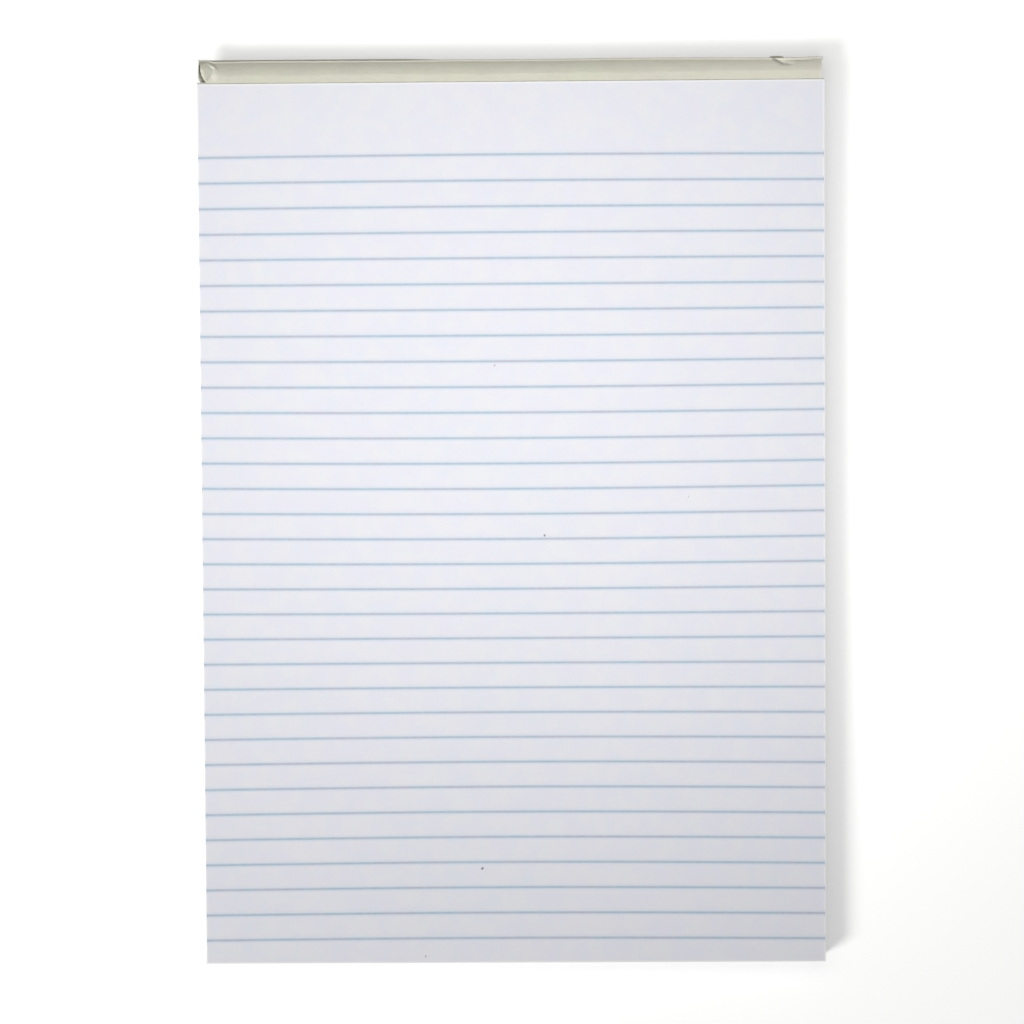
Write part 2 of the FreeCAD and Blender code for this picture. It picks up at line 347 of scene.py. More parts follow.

# %% [markdown]
# ## White writing paper
#
# Smooth white paper is never one flat white. Under the light it shows a fine fibre and faint
# clouds, some a little rosy, blue or warm, and along the edges where the blade has cut it a thin
# painted highlight. The colour is a function of its own, because the ruling is printed on the same
# paper and fades into it at both edges of each line.

# %% Paper finish
PAPER = (0.825, 0.825, 0.905)
PAPER_ROSY = (0.835, 0.815, 0.885)
PAPER_BLUE = (0.795, 0.825, 0.89)
PAPER_WARM = (0.85, 0.855, 0.87)
PAPER_FIBRE = (0.69, 0.70, 0.76)
# A painted highlight along the page's cut edges.
PAPER_RIM_HIGHLIGHT = (0.97, 0.97, 0.95)
FIBRE_GRAIN = 0.6 * MM
CLOUD_GRAIN = 34 * MM
PATCH_GRAIN = 5 * MM
WARM_GRAIN = 8 * MM
TOOTH_GRAIN = 0.35 * MM
FELT_GRAIN = 2.6 * MM
TOOTH_DEPTH = 0.03 * MM


def paper_colour(finish):
    """White paper with faint clouds and fibre, and a painted highlight along its cut rim."""
    cloud = finish.ramp(finish.noise(CLOUD_GRAIN, detail=2.0), 0.35, 0.65)
    patch = finish.ramp(finish.noise(PATCH_GRAIN, detail=3.0, seed=2.0), 0.3, 0.7)
    fibre = finish.noise(FIBRE_GRAIN, detail=4.0, stretch=(1.0, 0.55, 1.0), seed=3.0)
    warm = finish.ramp(finish.noise(WARM_GRAIN, detail=3.0, seed=4.0), 0.4, 0.65)
    tint = finish.blend(cloud * 0.8, PAPER, PAPER_BLUE)
    tint = finish.blend(patch * 0.85, tint, PAPER_ROSY)
    tint = finish.blend(warm * 0.6, tint, PAPER_WARM)
    tint = finish.blend(finish.ramp(fibre, 0.25, 0.9) * 0.1, tint, PAPER_FIBRE)
    return finish.blend(finish.label("rim") * 0.85, tint, PAPER_RIM_HIGHLIGHT)


def paper_height(finish):
    """The tooth of the paper's surface."""
    tooth = finish.noise(TOOTH_GRAIN, detail=3.0, seed=5.0)
    felt = finish.noise(FELT_GRAIN, detail=2.0, seed=7.0)
    return tooth * 0.35 + felt * 0.65


page_finish = Finish("writing_paper", roughness=0.82, specular=0.25)
page_material = page_finish.finish(paper_colour(page_finish), paper_height(page_finish), TOOTH_DEPTH)

# %% [markdown]
# The cut edges of the block are a finish of their own. A guillotine's blade leaves fine nicks
# that run straight through the stack, and groups of leaves catch the light a little differently.

# %% Finish of the cut edges
BAND_TONE = (0.60, 0.61, 0.63)
NICK_TONE = (0.5, 0.5, 0.5)
edge_finish = Finish("cut_edges", roughness=0.9, specular=0.15)
nicks = edge_finish.noise(0.5 * MM, detail=4.0, stretch=(1.0, 1.0, 0.03), seed=11.0)
bands = edge_finish.noise(0.35 * MM, detail=3.0, stretch=(0.01, 0.01, 1.0), seed=13.0)
edge_tone = edge_finish.blend(edge_finish.ramp(bands, 0.3, 0.7) * 0.6, PAPER, BAND_TONE)
edge_tone = edge_finish.blend(edge_finish.ramp(nicks, 0.55, 0.8) * 0.35, edge_tone, NICK_TONE)
edge_material = edge_finish.finish(edge_tone, nicks * 0.6 + bands * 0.4, 0.06 * MM)
print("paper and its cut edges")

# %% [markdown]
# ## The block of leaves
#
# The model holds the block as one solid. Here it is eighty leaves, each a closed sheet a little
# thinner than its share of the height, so that a thread of shadow parts it from the next. The
# cutter leaves them almost flush: each leaf gets a hair's breadth of its own at the sides and
# the foot, and the glued head stays true. The leaves below the top one share a coarse grid, so
# that none of them pokes through its neighbour. The top leaf has a finer grid for its relief.

# %% Leaves
LEAF_COUNT = 80
LEAF_FILL = 0.84
SHIFT_MOST = 0.16 * MM
RIM_WIDTH = 0.75 * MM
LOWER_GRID = (9, 13)
TOP_GRID = (64, 90)
DRIFT_TURN = 0.37
DRIFT_SHARE, SCATTER_SHARE = 0.3, 0.18
block_height = block_high.z - block_low.z
leaf_share = block_height / LEAF_COUNT
random_leaf = np.random.default_rng(5)


def spread(low, high, count, rim):
    """Even places from low to high, with two more inside each end to carry the cut rim."""
    even = list(np.linspace(low, high, count))
    if rim:
        even[1:1] = [low + RIM_WIDTH / 2, low + RIM_WIDTH]
        even[-1:-1] = [high - RIM_WIDTH, high - RIM_WIDTH / 2]
    return even


def leaf_points(level, thickness, across, down):
    """Points of one closed leaf: its underside row by row, and then its upper side."""
    points = []
    for side in (0.0, thickness):
        for y in down:
            for x in across:
                local = 1 - page_sink(x, y) / block_height
                points.append((x, y, block_low.z + (level * leaf_share + side) * local))
    return points


def rim_highlight_share(x, y):
    """How much painted highlight a point gets: 1 at the cut edges of the page, down to 0 at the
    rim's width inside them.
    """
    inside = min(block_high.x - abs(x), head - y, y - block_low.y)
    return 1 - rise((inside - SHIFT_MOST / 2) / RIM_WIDTH)


def leaf_faces(columns, rows, start):
    """Faces of one closed leaf, and for each whether it is a cut edge."""
    count = columns * rows
    faces = grid_faces(rows, columns, start, flip=True) + grid_faces(rows, columns, start + count)
    flat = len(faces)
    ring = list(range(columns))
    ring += [row * columns + columns - 1 for row in range(1, rows)]
    ring += [(rows - 1) * columns + column for column in range(columns - 2, -1, -1)]
    ring += [row * columns for row in range(rows - 2, 0, -1)]
    for here, after in zip(ring, ring[1:] + ring[:1]):
        faces.append((start + here, start + after, start + count + after, start + count + here))
    return faces, [0] * flat + [1] * (len(faces) - flat)


def make_leaves(name, levels, grid, replaces=()):
    """The named run of leaves as one piece, each with the grid's columns and rows."""
    columns, rows = grid
    points, faces, kinds = [], [], []
    for level in levels:
        top = level == LEAF_COUNT - 1
        drift = 0.5 + 0.5 * math.sin(level * DRIFT_TURN)
        left, right, foot = SHIFT_MOST * (
            DRIFT_SHARE * drift + SCATTER_SHARE * np.abs(random_leaf.normal(size=3)).clip(0, 3))
        across = spread(block_low.x + left, block_high.x - right, columns, top)
        down = spread(block_low.y + foot, head, rows, top)
        new_faces, new_kinds = leaf_faces(len(across), len(down), len(points))
        thickness = leaf_share * (1.0 if top else LEAF_FILL)
        points += leaf_points(level, thickness, across, down)
        faces += new_faces
        kinds += new_kinds
    piece = add_piece(name, points, faces, [page_material, edge_material], replaces)
    piece.data.polygons.foreach_set("material_index", kinds)
    # The cut rim's share of the painted highlight.
    carry(piece, "rim", [rim_highlight_share(x, y) for x, y, _ in points])
    smooth(piece)


make_leaves("leaf_block", range(LEAF_COUNT - 1), LOWER_GRID, ("ruled_sheets",))
make_leaves("top_leaf", [LEAF_COUNT - 1], TOP_GRID)

# %% [markdown]
# ## The ruling
#
# Thirty-two pale blue lines run from edge to edge. Printed ink spreads a little into the paper,
# so a line has a soft core and a faint blue halo, and its blue turns greyer and back along the
# way. Each line is a ribbon laid on the relief of the page. Its points carry how much ink they
# hold: full along the middle, none at the sides. The page in the picture isn't quite flat, so its
# lines are seen slightly bowed, by up to a millimetre, and `bow` gives the ribbons that drift.

# %% Ruling ink
INK, INK_GREY = (0.40, 0.51, 0.61), (0.48, 0.48, 0.57)
HALO = (0.76, 0.835, 0.925)
line_finish = Finish("ruling_ink", roughness=0.8, specular=0.25)
patchy = line_finish.ramp(line_finish.noise(1.6 * MM, detail=3.0, seed=17.0), 0.2, 0.8)
hue = line_finish.noise(7 * MM, detail=2.0, stretch=(0.5, 1.0, 1.0), seed=18.0)
ink_tone = line_finish.blend(line_finish.ramp(hue, 0.4, 0.65), INK, INK_GREY)
halo_share = line_finish.ramp(line_finish.label("ink"), 0.0, 0.12) * 0.55
halo_tone = line_finish.blend(halo_share, paper_colour(line_finish), HALO)
inked = line_finish.label("ink") * (0.80 + patchy * 0.20)
line_colour = line_finish.blend(inked, halo_tone, ink_tone)
line_material = line_finish.finish(line_colour, paper_height(line_finish), TOOTH_DEPTH)

# %% Ribbons of ink
LINE_COUNT = 32
INK_PROFILE = [(-1.40, 0.0), (-0.95, 0.05), (-0.58, 0.16), (-0.30, 0.60), (-0.12, 0.92),
               (0.12, 0.92), (0.30, 0.60), (0.58, 0.16), (0.95, 0.05), (1.40, 0.0)]
RIBBON_STEPS = 84
# The bow's weights in millimetres: its level, its slope and waves down the page, and its ends.
BOW_LEVEL, BOW_SLOPE = 0.45, 0.11
BOW_WAVES = (-0.73, -0.43, 0.26)
BOW_ENDS = (-0.23, -0.16)
line_half = 0.2 * MM
line_centres = np.linspace(lines_high.y - line_half, lines_low.y + line_half, LINE_COUNT)


def bow(x, y):
    """How far a line is seen off its straight place towards the head, in metres."""
    across = math.sin(math.pi * (x - block_low.x) / (block_high.x - block_low.x))
    down = (line_centres[0] - y) / (line_centres[0] - line_centres[-1])
    waves = [math.sin(math.pi * count * down) for count in (1, 2, 3)]
    middle = BOW_LEVEL + BOW_SLOPE * down + sum(map(math.prod, zip(BOW_WAVES, waves)))
    return (across * middle + BOW_ENDS[0] + BOW_ENDS[1] * waves[1]) * MM


def make_ruling():
    """All the ruled lines as one piece of thin closed ribbons."""
    points, faces, ink = [], [], []
    across = len(INK_PROFILE)
    for centre in line_centres:
        start = len(points)
        for lift in (0.2 * ink_lift, ink_lift):
            for offset, strength in INK_PROFILE:
                for step in range(RIBBON_STEPS):
                    x = block_low.x + (block_high.x - block_low.x) * step / (RIBBON_STEPS - 1)
                    x = min(max(x, block_low.x + SHIFT_MOST), block_high.x - SHIFT_MOST)
                    y = centre + offset * MM + bow(x, centre)
                    points.append((x, y, block_high.z - page_sink(x, y) + lift))
                    ink.append(strength)
        count = across * RIBBON_STEPS
        new_faces, _ = leaf_faces(RIBBON_STEPS, across, start)
        faces += new_faces
    piece = add_piece("ruling", points, faces, [line_material], ("ruled_lines",))
    carry(piece, "ink", ink)
    smooth(piece)


make_ruling()

# %% [markdown]
# ## Specks of dirt
#
# Five tiny grey specks lie on the page. Each is an uneven dot, darkest in the middle. Their
# places are given from the page's lower left corner, so they stay on the page if it moves.

# %% Specks
# Each speck: millimetres from the left, from the foot, half its length, its slant, how dark.
SPECKS = [
    (93.9, 32.2, 0.64, 70, 1.0),
    (115.6, 145.0, 0.56, 80, 0.85),
    (99.1, 202.3, 0.52, 65, 0.50),
    (74.4, 2.3, 0.62, 100, 0.45),
    (164.1, 157.8, 0.44, 90, 0.32),
]
SPECK_RINGS = [(0.25, 1.0), (0.55, 0.75), (0.8, 0.3), (1.0, 0.0)]
SPECK_POINTS = 14
SPECK_UNEVEN, SPECK_NARROW = 0.18, 0.72
SPECK_DIRT = (0.11, 0.11, 0.125)
speck_finish = Finish("speck_of_dirt", roughness=0.85, specular=0.2)
speck_colour = speck_finish.blend(speck_finish.label("ink"), paper_colour(speck_finish),
                                  SPECK_DIRT)
speck_material = speck_finish.finish(speck_colour, paper_height(speck_finish), TOOTH_DEPTH)


def make_specks():
    """All the specks as one piece of thin uneven discs."""
    points, faces, ink = [], [], []
    wobble = np.random.default_rng(9)
    for left, up, size, slant, strength in SPECKS:
        middle = (block_low.x + left * MM, block_low.y + up * MM)
        uneven = 1 + SPECK_UNEVEN * wobble.normal(size=SPECK_POINTS)
        turn = math.radians(slant)
        start = len(points)
        for lift in (ink_lift * 1.3, ink_lift * 0.2):
            points.append((*middle, block_high.z - page_sink(*middle) + lift))
            ink.append(strength)
            for reach, share in SPECK_RINGS:
                for step in range(SPECK_POINTS):
                    angle = 2 * math.pi * step / SPECK_POINTS
                    along = reach * size * MM * uneven[step] * math.cos(angle)
                    aside = reach * size * MM * uneven[step] * math.sin(angle) * SPECK_NARROW
                    x = middle[0] + along * math.cos(turn) - aside * math.sin(turn)
                    y = middle[1] + along * math.sin(turn) + aside * math.cos(turn)
                    points.append((x, y, block_high.z - page_sink(x, y) + lift))
                    ink.append(strength * share)
        layer = 1 + len(SPECK_RINGS) * SPECK_POINTS
        for side in (0, 1):
            base = start + side * layer
            for step in range(SPECK_POINTS):
                after = (step + 1) % SPECK_POINTS
                face = (base, base + 1 + step, base + 1 + after)
                faces.append(face if side == 0 else face[::-1])
                for ring in range(len(SPECK_RINGS) - 1):
                    inner = base + 1 + ring * SPECK_POINTS
                    outer = inner + SPECK_POINTS
                    face = (inner + step, outer + step, outer + after, inner + after)
                    faces.append(face if side == 0 else face[::-1])
        rim = start + layer - SPECK_POINTS
        for step in range(SPECK_POINTS):
            after = (step + 1) % SPECK_POINTS
            faces.append((rim + step, rim + layer + step, rim + layer + after, rim + after))
    piece = add_piece("specks", points, faces, [speck_material])
    carry(piece, "ink", ink)
    smooth(piece)


make_specks()

# %% [markdown]
# ## The binding strip
#
# The strip is one piece of paper. Its section starts at the page's head, runs flat over the
# glue, falls gently to a creased nose, drops, turns under in a loose round and comes back flat
# under the board. The section is made of arcs that meet without a kink, from the same few sizes
# as the measured model.

# %% Section of the strip
PAPER_THICKNESS = 0.25 * MM
NOSE_DROP = 2.3 * MM
NOSE_OUTSIDE = 0.3 * MM
ROLL_FULLNESS = 0.9
GLUE_STEPS, FALL_STEPS, NOSE_STEPS, DROP_STEPS, TURN_STEPS, FLAP_STEPS = 4, 36, 6, 12, 26, 12
strip_top = strip_high.z
reach = strip_high.y - head
bead_reach = bead_high.y - head
nose_height = strip_top - NOSE_DROP
lower_turn = ROLL_FULLNESS * min(nose_height, reach - bead_reach)
across = reach - NOSE_OUTSIDE - bead_reach
fall_radius = (across ** 2 + NOSE_DROP ** 2 - NOSE_OUTSIDE ** 2) / (2 * (NOSE_DROP - NOSE_OUTSIDE))
fall_angle = math.asin(across / (fall_radius - NOSE_OUTSIDE))


def arc(centre_y, centre_z, radius, start, end, steps):
    """Points of an arc, without its first point. Angles are from straight out, in radians."""
    angles = [start + (end - start) * step / steps for step in range(1, steps + 1)]
    return [(centre_y + radius * math.cos(angle), centre_z + radius * math.sin(angle))
            for angle in angles]


def run(start, end, steps):
    """Points of a straight stretch, without its first point."""
    return [tuple(a + (b - a) * step / steps for a, b in zip(start, end))
            for step in range(1, steps + 1)]


quarter = math.pi / 2
section = [(0.0, strip_top)]
section += run(section[-1], (bead_reach, strip_top), GLUE_STEPS)
section += arc(bead_reach, strip_top - fall_radius, fall_radius,
               quarter, quarter - fall_angle, FALL_STEPS)
nose_start = len(section)
section += arc(reach - NOSE_OUTSIDE, nose_height, NOSE_OUTSIDE,
               quarter - fall_angle, 0.0, NOSE_STEPS)
nose_end = len(section)
section += run(section[-1], (reach, lower_turn), DROP_STEPS)
section += arc(reach - lower_turn, lower_turn, lower_turn, 0.0, -quarter, TURN_STEPS)
section += run(section[-1], (strip_low.y - head, 0.0), FLAP_STEPS)
section = np.array(section)
steps_along = np.hypot(*np.diff(section, axis=0).T)
station = np.concatenate([[0.0], np.cumsum(steps_along)])
nose_station = station[(nose_start + nose_end) // 2]
print(f"the strip's paper is {station[-1] / MM:.1f} mm from edge to edge")

# %% [markdown]
# The strip has been handled. Its left end is crumpled: a torn, lifted edge, a dull facet that
# slopes into a valley, a bright facet beyond it, and a ridge above which the nose is dented in.
# Paper creases into flat facets, so the crumple is a net of triangles, and each point of the strip
# takes the values of the triangle that it lies in. The first two are its place, in millimetres
# from the page's left edge and from its head as the camera sees them. The third is its height over
# the strip's smooth fall. The last is painted tone: above zero the paper is painted paler, as
# rubbed paper and a painted highlight on the lifted edge and the bright facets, and below zero
# it is painted shade on the dull facet and in the valley.

# %% Crumple at the left end
# The last value of each point: painted paler as rubbed paper and painted highlight, and painted
# shade where it is below zero.
CRUMPLE = {
    "out_foot": (-1.0, -0.5, 0.0, 0.3), "out_low": (-1.0, 2.7, 0.15, 0.4),
    "out_high": (-1.0, 4.4, 0.45, 0.5), "out_nose": (-1.0, 6.0, 0.45, 0.4),
    "out_tip": (-1.0, 8.8, 0.1, 0.3),
    "edge_foot": (3.1, 0.3, 0.0, 0.4), "edge_low": (2.1, 2.7, 0.15, 0.4),
    "edge_high": (1.8, 4.4, 0.45, 0.4), "edge_nose": (1.7, 6.0, 0.45, 0.3),
    "dull": (3.0, 4.4, 0.05, -0.08),
    "valley_foot": (3.25, 0.9, -0.12, -0.06), "valley": (4.5, 3.0, -0.55, -0.1),
    "valley_high": (5.6, 4.85, -0.40, -0.08), "valley_top": (4.4, 5.5, -0.12, -0.05),
    "bright_foot": (3.7, 0.5, -0.15, 0.8), "bright_low": (4.9, 2.9, -0.40, 0.9),
    "rise_foot": (5.7, 0.6, -0.10, 0.7), "rise": (5.9, 3.0, 0.12, 0.8),
    "ridge": (6.1, 5.3, 0.22, 0.4), "ridge_side": (5.0, 5.9, 0.14, 0.5),
    "crest": (3.4, 7.0, 0.12, 0.15), "dent_left": (2.2, 7.5, 0.0, -0.12),
    "dent": (5.2, 6.8, -0.12, -0.04), "free_high": (8.4, 7.3, 0.0, 0.0),
    "free_low": (7.6, 4.4, 0.0, 0.0), "free_foot": (7.4, 0.5, 0.0, 0.0),
}
FACETS = [
    ("out_foot", "edge_foot", "edge_low"), ("out_foot", "edge_low", "out_low"),
    ("out_low", "edge_low", "edge_high"), ("out_low", "edge_high", "out_high"),
    ("out_high", "edge_high", "edge_nose"), ("out_high", "edge_nose", "out_nose"),
    ("out_nose", "edge_nose", "dent_left"), ("out_nose", "dent_left", "out_tip"),
    ("edge_foot", "valley_foot", "edge_low"), ("edge_low", "valley_foot", "valley"),
    ("edge_low", "valley", "dull"), ("edge_low", "dull", "edge_high"),
    ("dull", "valley", "valley_high"), ("dull", "valley_high", "valley_top"),
    ("edge_high", "dull", "valley_top"), ("edge_high", "valley_top", "edge_nose"),
    ("edge_foot", "bright_foot", "valley_foot"), ("valley_foot", "bright_foot", "bright_low"),
    ("valley_foot", "bright_low", "valley"), ("valley", "bright_low", "valley_high"),
    ("bright_foot", "rise_foot", "bright_low"), ("bright_low", "rise_foot", "rise"),
    ("bright_low", "rise", "valley_high"), ("valley_high", "rise", "ridge"),
    ("valley_high", "ridge", "ridge_side"), ("valley_top", "valley_high", "ridge_side"),
    ("valley_top", "ridge_side", "crest"), ("edge_nose", "valley_top", "crest"),
    ("edge_nose", "crest", "dent_left"), ("ridge_side", "ridge", "dent"),
    ("crest", "ridge_side", "dent"), ("crest", "dent", "dent_left"),
    ("ridge", "free_low", "dent"), ("free_low", "free_high", "dent"),
    ("rise", "free_low", "ridge"), ("rise_foot", "free_foot", "rise"),
    ("free_foot", "free_low", "rise"),
]


def crumple(x, y):
    """Height in millimetres and painted tone of the crumple at a place on the strip's front: rubbed
    paper and painted highlight above zero, painted shade below.
    """
    for names in FACETS:
        (ax, ay, *a), (bx, by, *b), (cx, cy, *c) = (CRUMPLE[name] for name in names)
        area = (bx - ax) * (cy - ay) - (cx - ax) * (by - ay)
        second = ((x - ax) * (cy - ay) - (cx - ax) * (y - ay)) / area
        third = ((bx - ax) * (y - ay) - (x - ax) * (by - ay)) / area
        if second >= -0.001 and third >= -0.001 and second + third <= 1.001:
            first = 1 - second - third
            return tuple(first * i + second * j + third * k for i, j, k in zip(a, b, c))
    return 0.0, 0.0


print("the crumple has", len(FACETS), "facets")

# %% [markdown]
# Near the right end a wrinkle starts as a dent in the nose and runs down towards the head, where
# it bends and fades. Past it the paper has a second crease, close inside the nose, and a few faint
# ones across it by the end. All of them are soft valleys, so one function makes a valley along a
# line, steep on its near side. The paper that it pushes up can stand as a low ridge beyond it.

# %% Wrinkles
# Each wrinkle: its start and end, its depth and width, and the height of its ridge, in millimetres.
WRINKLES = [
    ((193.2, 7.0), (196.2, 5.25), 0.45, 0.50, 0.0),
    ((195.7, 5.4), (199.6, 5.1), 0.32, 0.55, 0.0),
    ((197.6, 6.2), (207.0, 6.25), 0.12, 0.22, 0.05),
]
END_CREASES = (206.0, 207.2, 208.4)
END_CREASE_HEIGHT, END_CREASE_WIDTH = 0.045, 0.25


def valley(x, y, start, end, depth, width, ridge):
    """Height of a soft valley along a line, in millimetres. It fades out at the line's end."""
    run_x, run_y = end[0] - start[0], end[1] - start[1]
    length = math.hypot(run_x, run_y)
    along = ((x - start[0]) * run_x + (y - start[1]) * run_y) / length
    aside = ((y - start[1]) * run_x - (x - start[0]) * run_y) / length
    strength = rise((along + 0.8) / 1.2) * (1 - rise((along - 0.5 * length) / (0.65 * length)))
    low = depth * math.exp(-(aside / (width if aside < 0 else 1.8 * width)) ** 2)
    high = ridge * math.exp(-((aside - 1.7 * width) / width) ** 2)
    return strength * (high - low)


def wrinkles(x, y):
    """Height of all the wrinkles near the right end, in millimetres."""
    height = sum(valley(x, y, *wrinkle) for wrinkle in WRINKLES)
    for place in END_CREASES:
        height += END_CREASE_HEIGHT * math.exp(-((x - place) / END_CREASE_WIDTH) ** 2) * rise(y / 2)
    return height


print(len(WRINKLES), "wrinkles and", len(END_CREASES), "faint creases")

# %% [markdown]
# The nose wavers along the strip, and at the left end it runs out to a torn tip. Its crease stands
# up as a thin lip, and towards the right end the whole fall is shallower. Below it the lower
# turn is tucked in, except along the left third and under the wrinkle, where it bulges out and
# shows beyond the nose as a thin second layer. Both ends are cut on a slant, the left one is
# ragged, and behind it the strip's own underside is squashed up.
#
# The camera looks along a slight slant, so paper that lies deeper seems to lie nearer to the head
# and to the middle. `as_seen` carries a place up to the page's level along the line of sight.

# %% Shape of the strip
PAGE_WIDTH_MM = (block_high.x - block_low.x) / MM
PAGE_TOP_MM = block_high.z / MM
REACH_MM = reach / MM
BEAD_MM = bead_reach / MM
LEAN_TO_HEAD = 0.214
LEAN_TO_MIDDLE = 0.15
# The nose as seen: millimetres from the page's left edge, and beyond the head.
NOSE_LINE = [
    (0.0, 8.35), (1.0, 8.2), (2.0, 8.0), (3.0, 7.75), (4.0, 7.35), (5.0, 7.17), (8.0, 7.17),
    (18.0, 7.31), (28.0, 7.29), (41.0, 7.21), (54.0, 7.18), (68.0, 7.10), (84.0, 7.20),
    (101.0, 7.11), (121.0, 7.09), (141.0, 7.25), (161.0, 7.17), (174.0, 7.07), (184.0, 6.92),
    (193.0, 6.86), (196.0, 6.82), (200.0, 6.93), (203.0, 6.91), (206.0, 7.12), (210.0, 7.07),
]
# How far each end lies inside the page's side, as seen: beyond the head, and inside.
LEFT_END = [(0.0, 3.1), (0.5, 2.9), (1.35, 2.4), (2.7, 1.65), (4.4, 1.25), (5.8, 1.3), (7.0, 0.9),
            (7.6, 0.55), (8.3, 0.2)]
RIGHT_END = [(0.0, 1.25), (3.5, 0.9), (6.0, 0.5), (7.1, 0.25)]
HAIRLINE = 0.22
LIP_WIDTH, LIP_HEIGHT = 0.70, 0.26
SHALLOWER, SHALLOW_FROM, SHALLOW_OVER = 0.45, 125.0, 70.0
WAVE_HEIGHT = 0.05
RAGGED = 0.10
END_MARGIN = 0.2
FADE_PAST_NOSE = 0.6
# The second layer in millimetres along the strip: where each stretch starts to fade or to rise.
LAYER_LEFT_FADE, LAYER_LEFT_OVER = 55.0, 45.0
LAYER_RISE, LAYER_FALL, LAYER_SHARE = 191.5, 195.5, 0.8
TUCK, UNDERCUT = 0.15, 0.30
SQUASH_SHARE, SQUASH_LENGTH = 0.9, 7.0
# Painted shade in the crevice behind the crushed left end: its share, and where it fades, in
# millimetres.
CREVICE_SHADE_SHARE, CREVICE_SHADE_FROM, CREVICE_SHADE_OVER = 0.9, 2.5, 3.0
# Paler paper along the right end's last stretch, and a painted highlight on its very edge.
PALER_END_SHARE, PALER_END_FROM, PALER_END_OVER = 0.25, 150.0, 50.0
EDGE_HIGHLIGHT, EDGE_HIGHLIGHT_WIDTH = 0.7, 0.45
front_y, front_z = section[:nose_start].T / MM


def as_seen(share, y, z):
    """How far inwards, and where beyond the head, the camera sees a point of the strip."""
    depth = PAGE_TOP_MM - z
    return LEAN_TO_MIDDLE * depth * (1 - 2 * share), y - LEAN_TO_HEAD * depth


def waver(x, lengths, seed):
    """A slow uneven wave along the strip, about -1 to 1."""
    total = sum(math.sin(2 * math.pi * x / length + seed * (index + 1.7))
                for index, length in enumerate(lengths))
    return total / len(lengths)


def nose_reach(x):
    """How far the nose really lies beyond the head."""
    seen_reach = np.interp(x, *zip(*NOSE_LINE)) + 0.02 * waver(x, (14.0, 6.3, 3.1), 4.0)
    depth = PAGE_TOP_MM - nose_height / MM - LIP_HEIGHT
    return min(seen_reach + LEAN_TO_HEAD * depth, REACH_MM - 0.02)


def second_layer(x):
    """How far the lower turn shows beyond the nose, from 0 to 1."""
    at_left = 1 - rise((x - LAYER_LEFT_FADE) / LAYER_LEFT_OVER)
    under_wrinkle = LAYER_SHARE * rise((x - LAYER_RISE) / 1.5) * (1 - rise((x - LAYER_FALL) / 3.0))
    return max(at_left, under_wrinkle)


def below_nose(x, y, past_nose):
    """Where the paper past the nose lies beyond the head."""
    shows = second_layer(x)
    nose = nose_reach(x)
    tucked = (REACH_MM - nose + TUCK) * (1 - shows) * (1 - rise((past_nose - 3.0) / 5.0))
    outward = rise((past_nose - 0.28) / 0.5)
    undercut = UNDERCUT * shows * math.exp(-((past_nose - 0.33) / 0.13) ** 2)
    return (nose - undercut) * (1 - outward) + (y - tucked) * outward


def lip(past_nose):
    """Height of the raised crease along the nose."""
    if past_nose < 0:
        return LIP_HEIGHT * max(0.0, 1 + past_nose / LIP_WIDTH)
    return LIP_HEIGHT * (1 - rise(past_nose / 0.45))


def squash(x, y, z):
    """Lifts the strip's underside towards its front, at the crushed left end."""
    share = SQUASH_SHARE * (1 - rise(x / SQUASH_LENGTH)) * rise((y - 0.7) / 0.8)
    full_y = BEAD_MM + (y - BEAD_MM) * (REACH_MM - BEAD_MM) / (nose_reach(x) - BEAD_MM)
    target = np.interp(full_y, front_y, front_z) - 1.0
    return z + share * max(target - z, 0.0)


def shallower(flat):
    """How much higher the strip's fall lies at a place along it, in millimetres."""
    return SHALLOWER * rise((flat - SHALLOW_FROM) / SHALLOW_OVER)


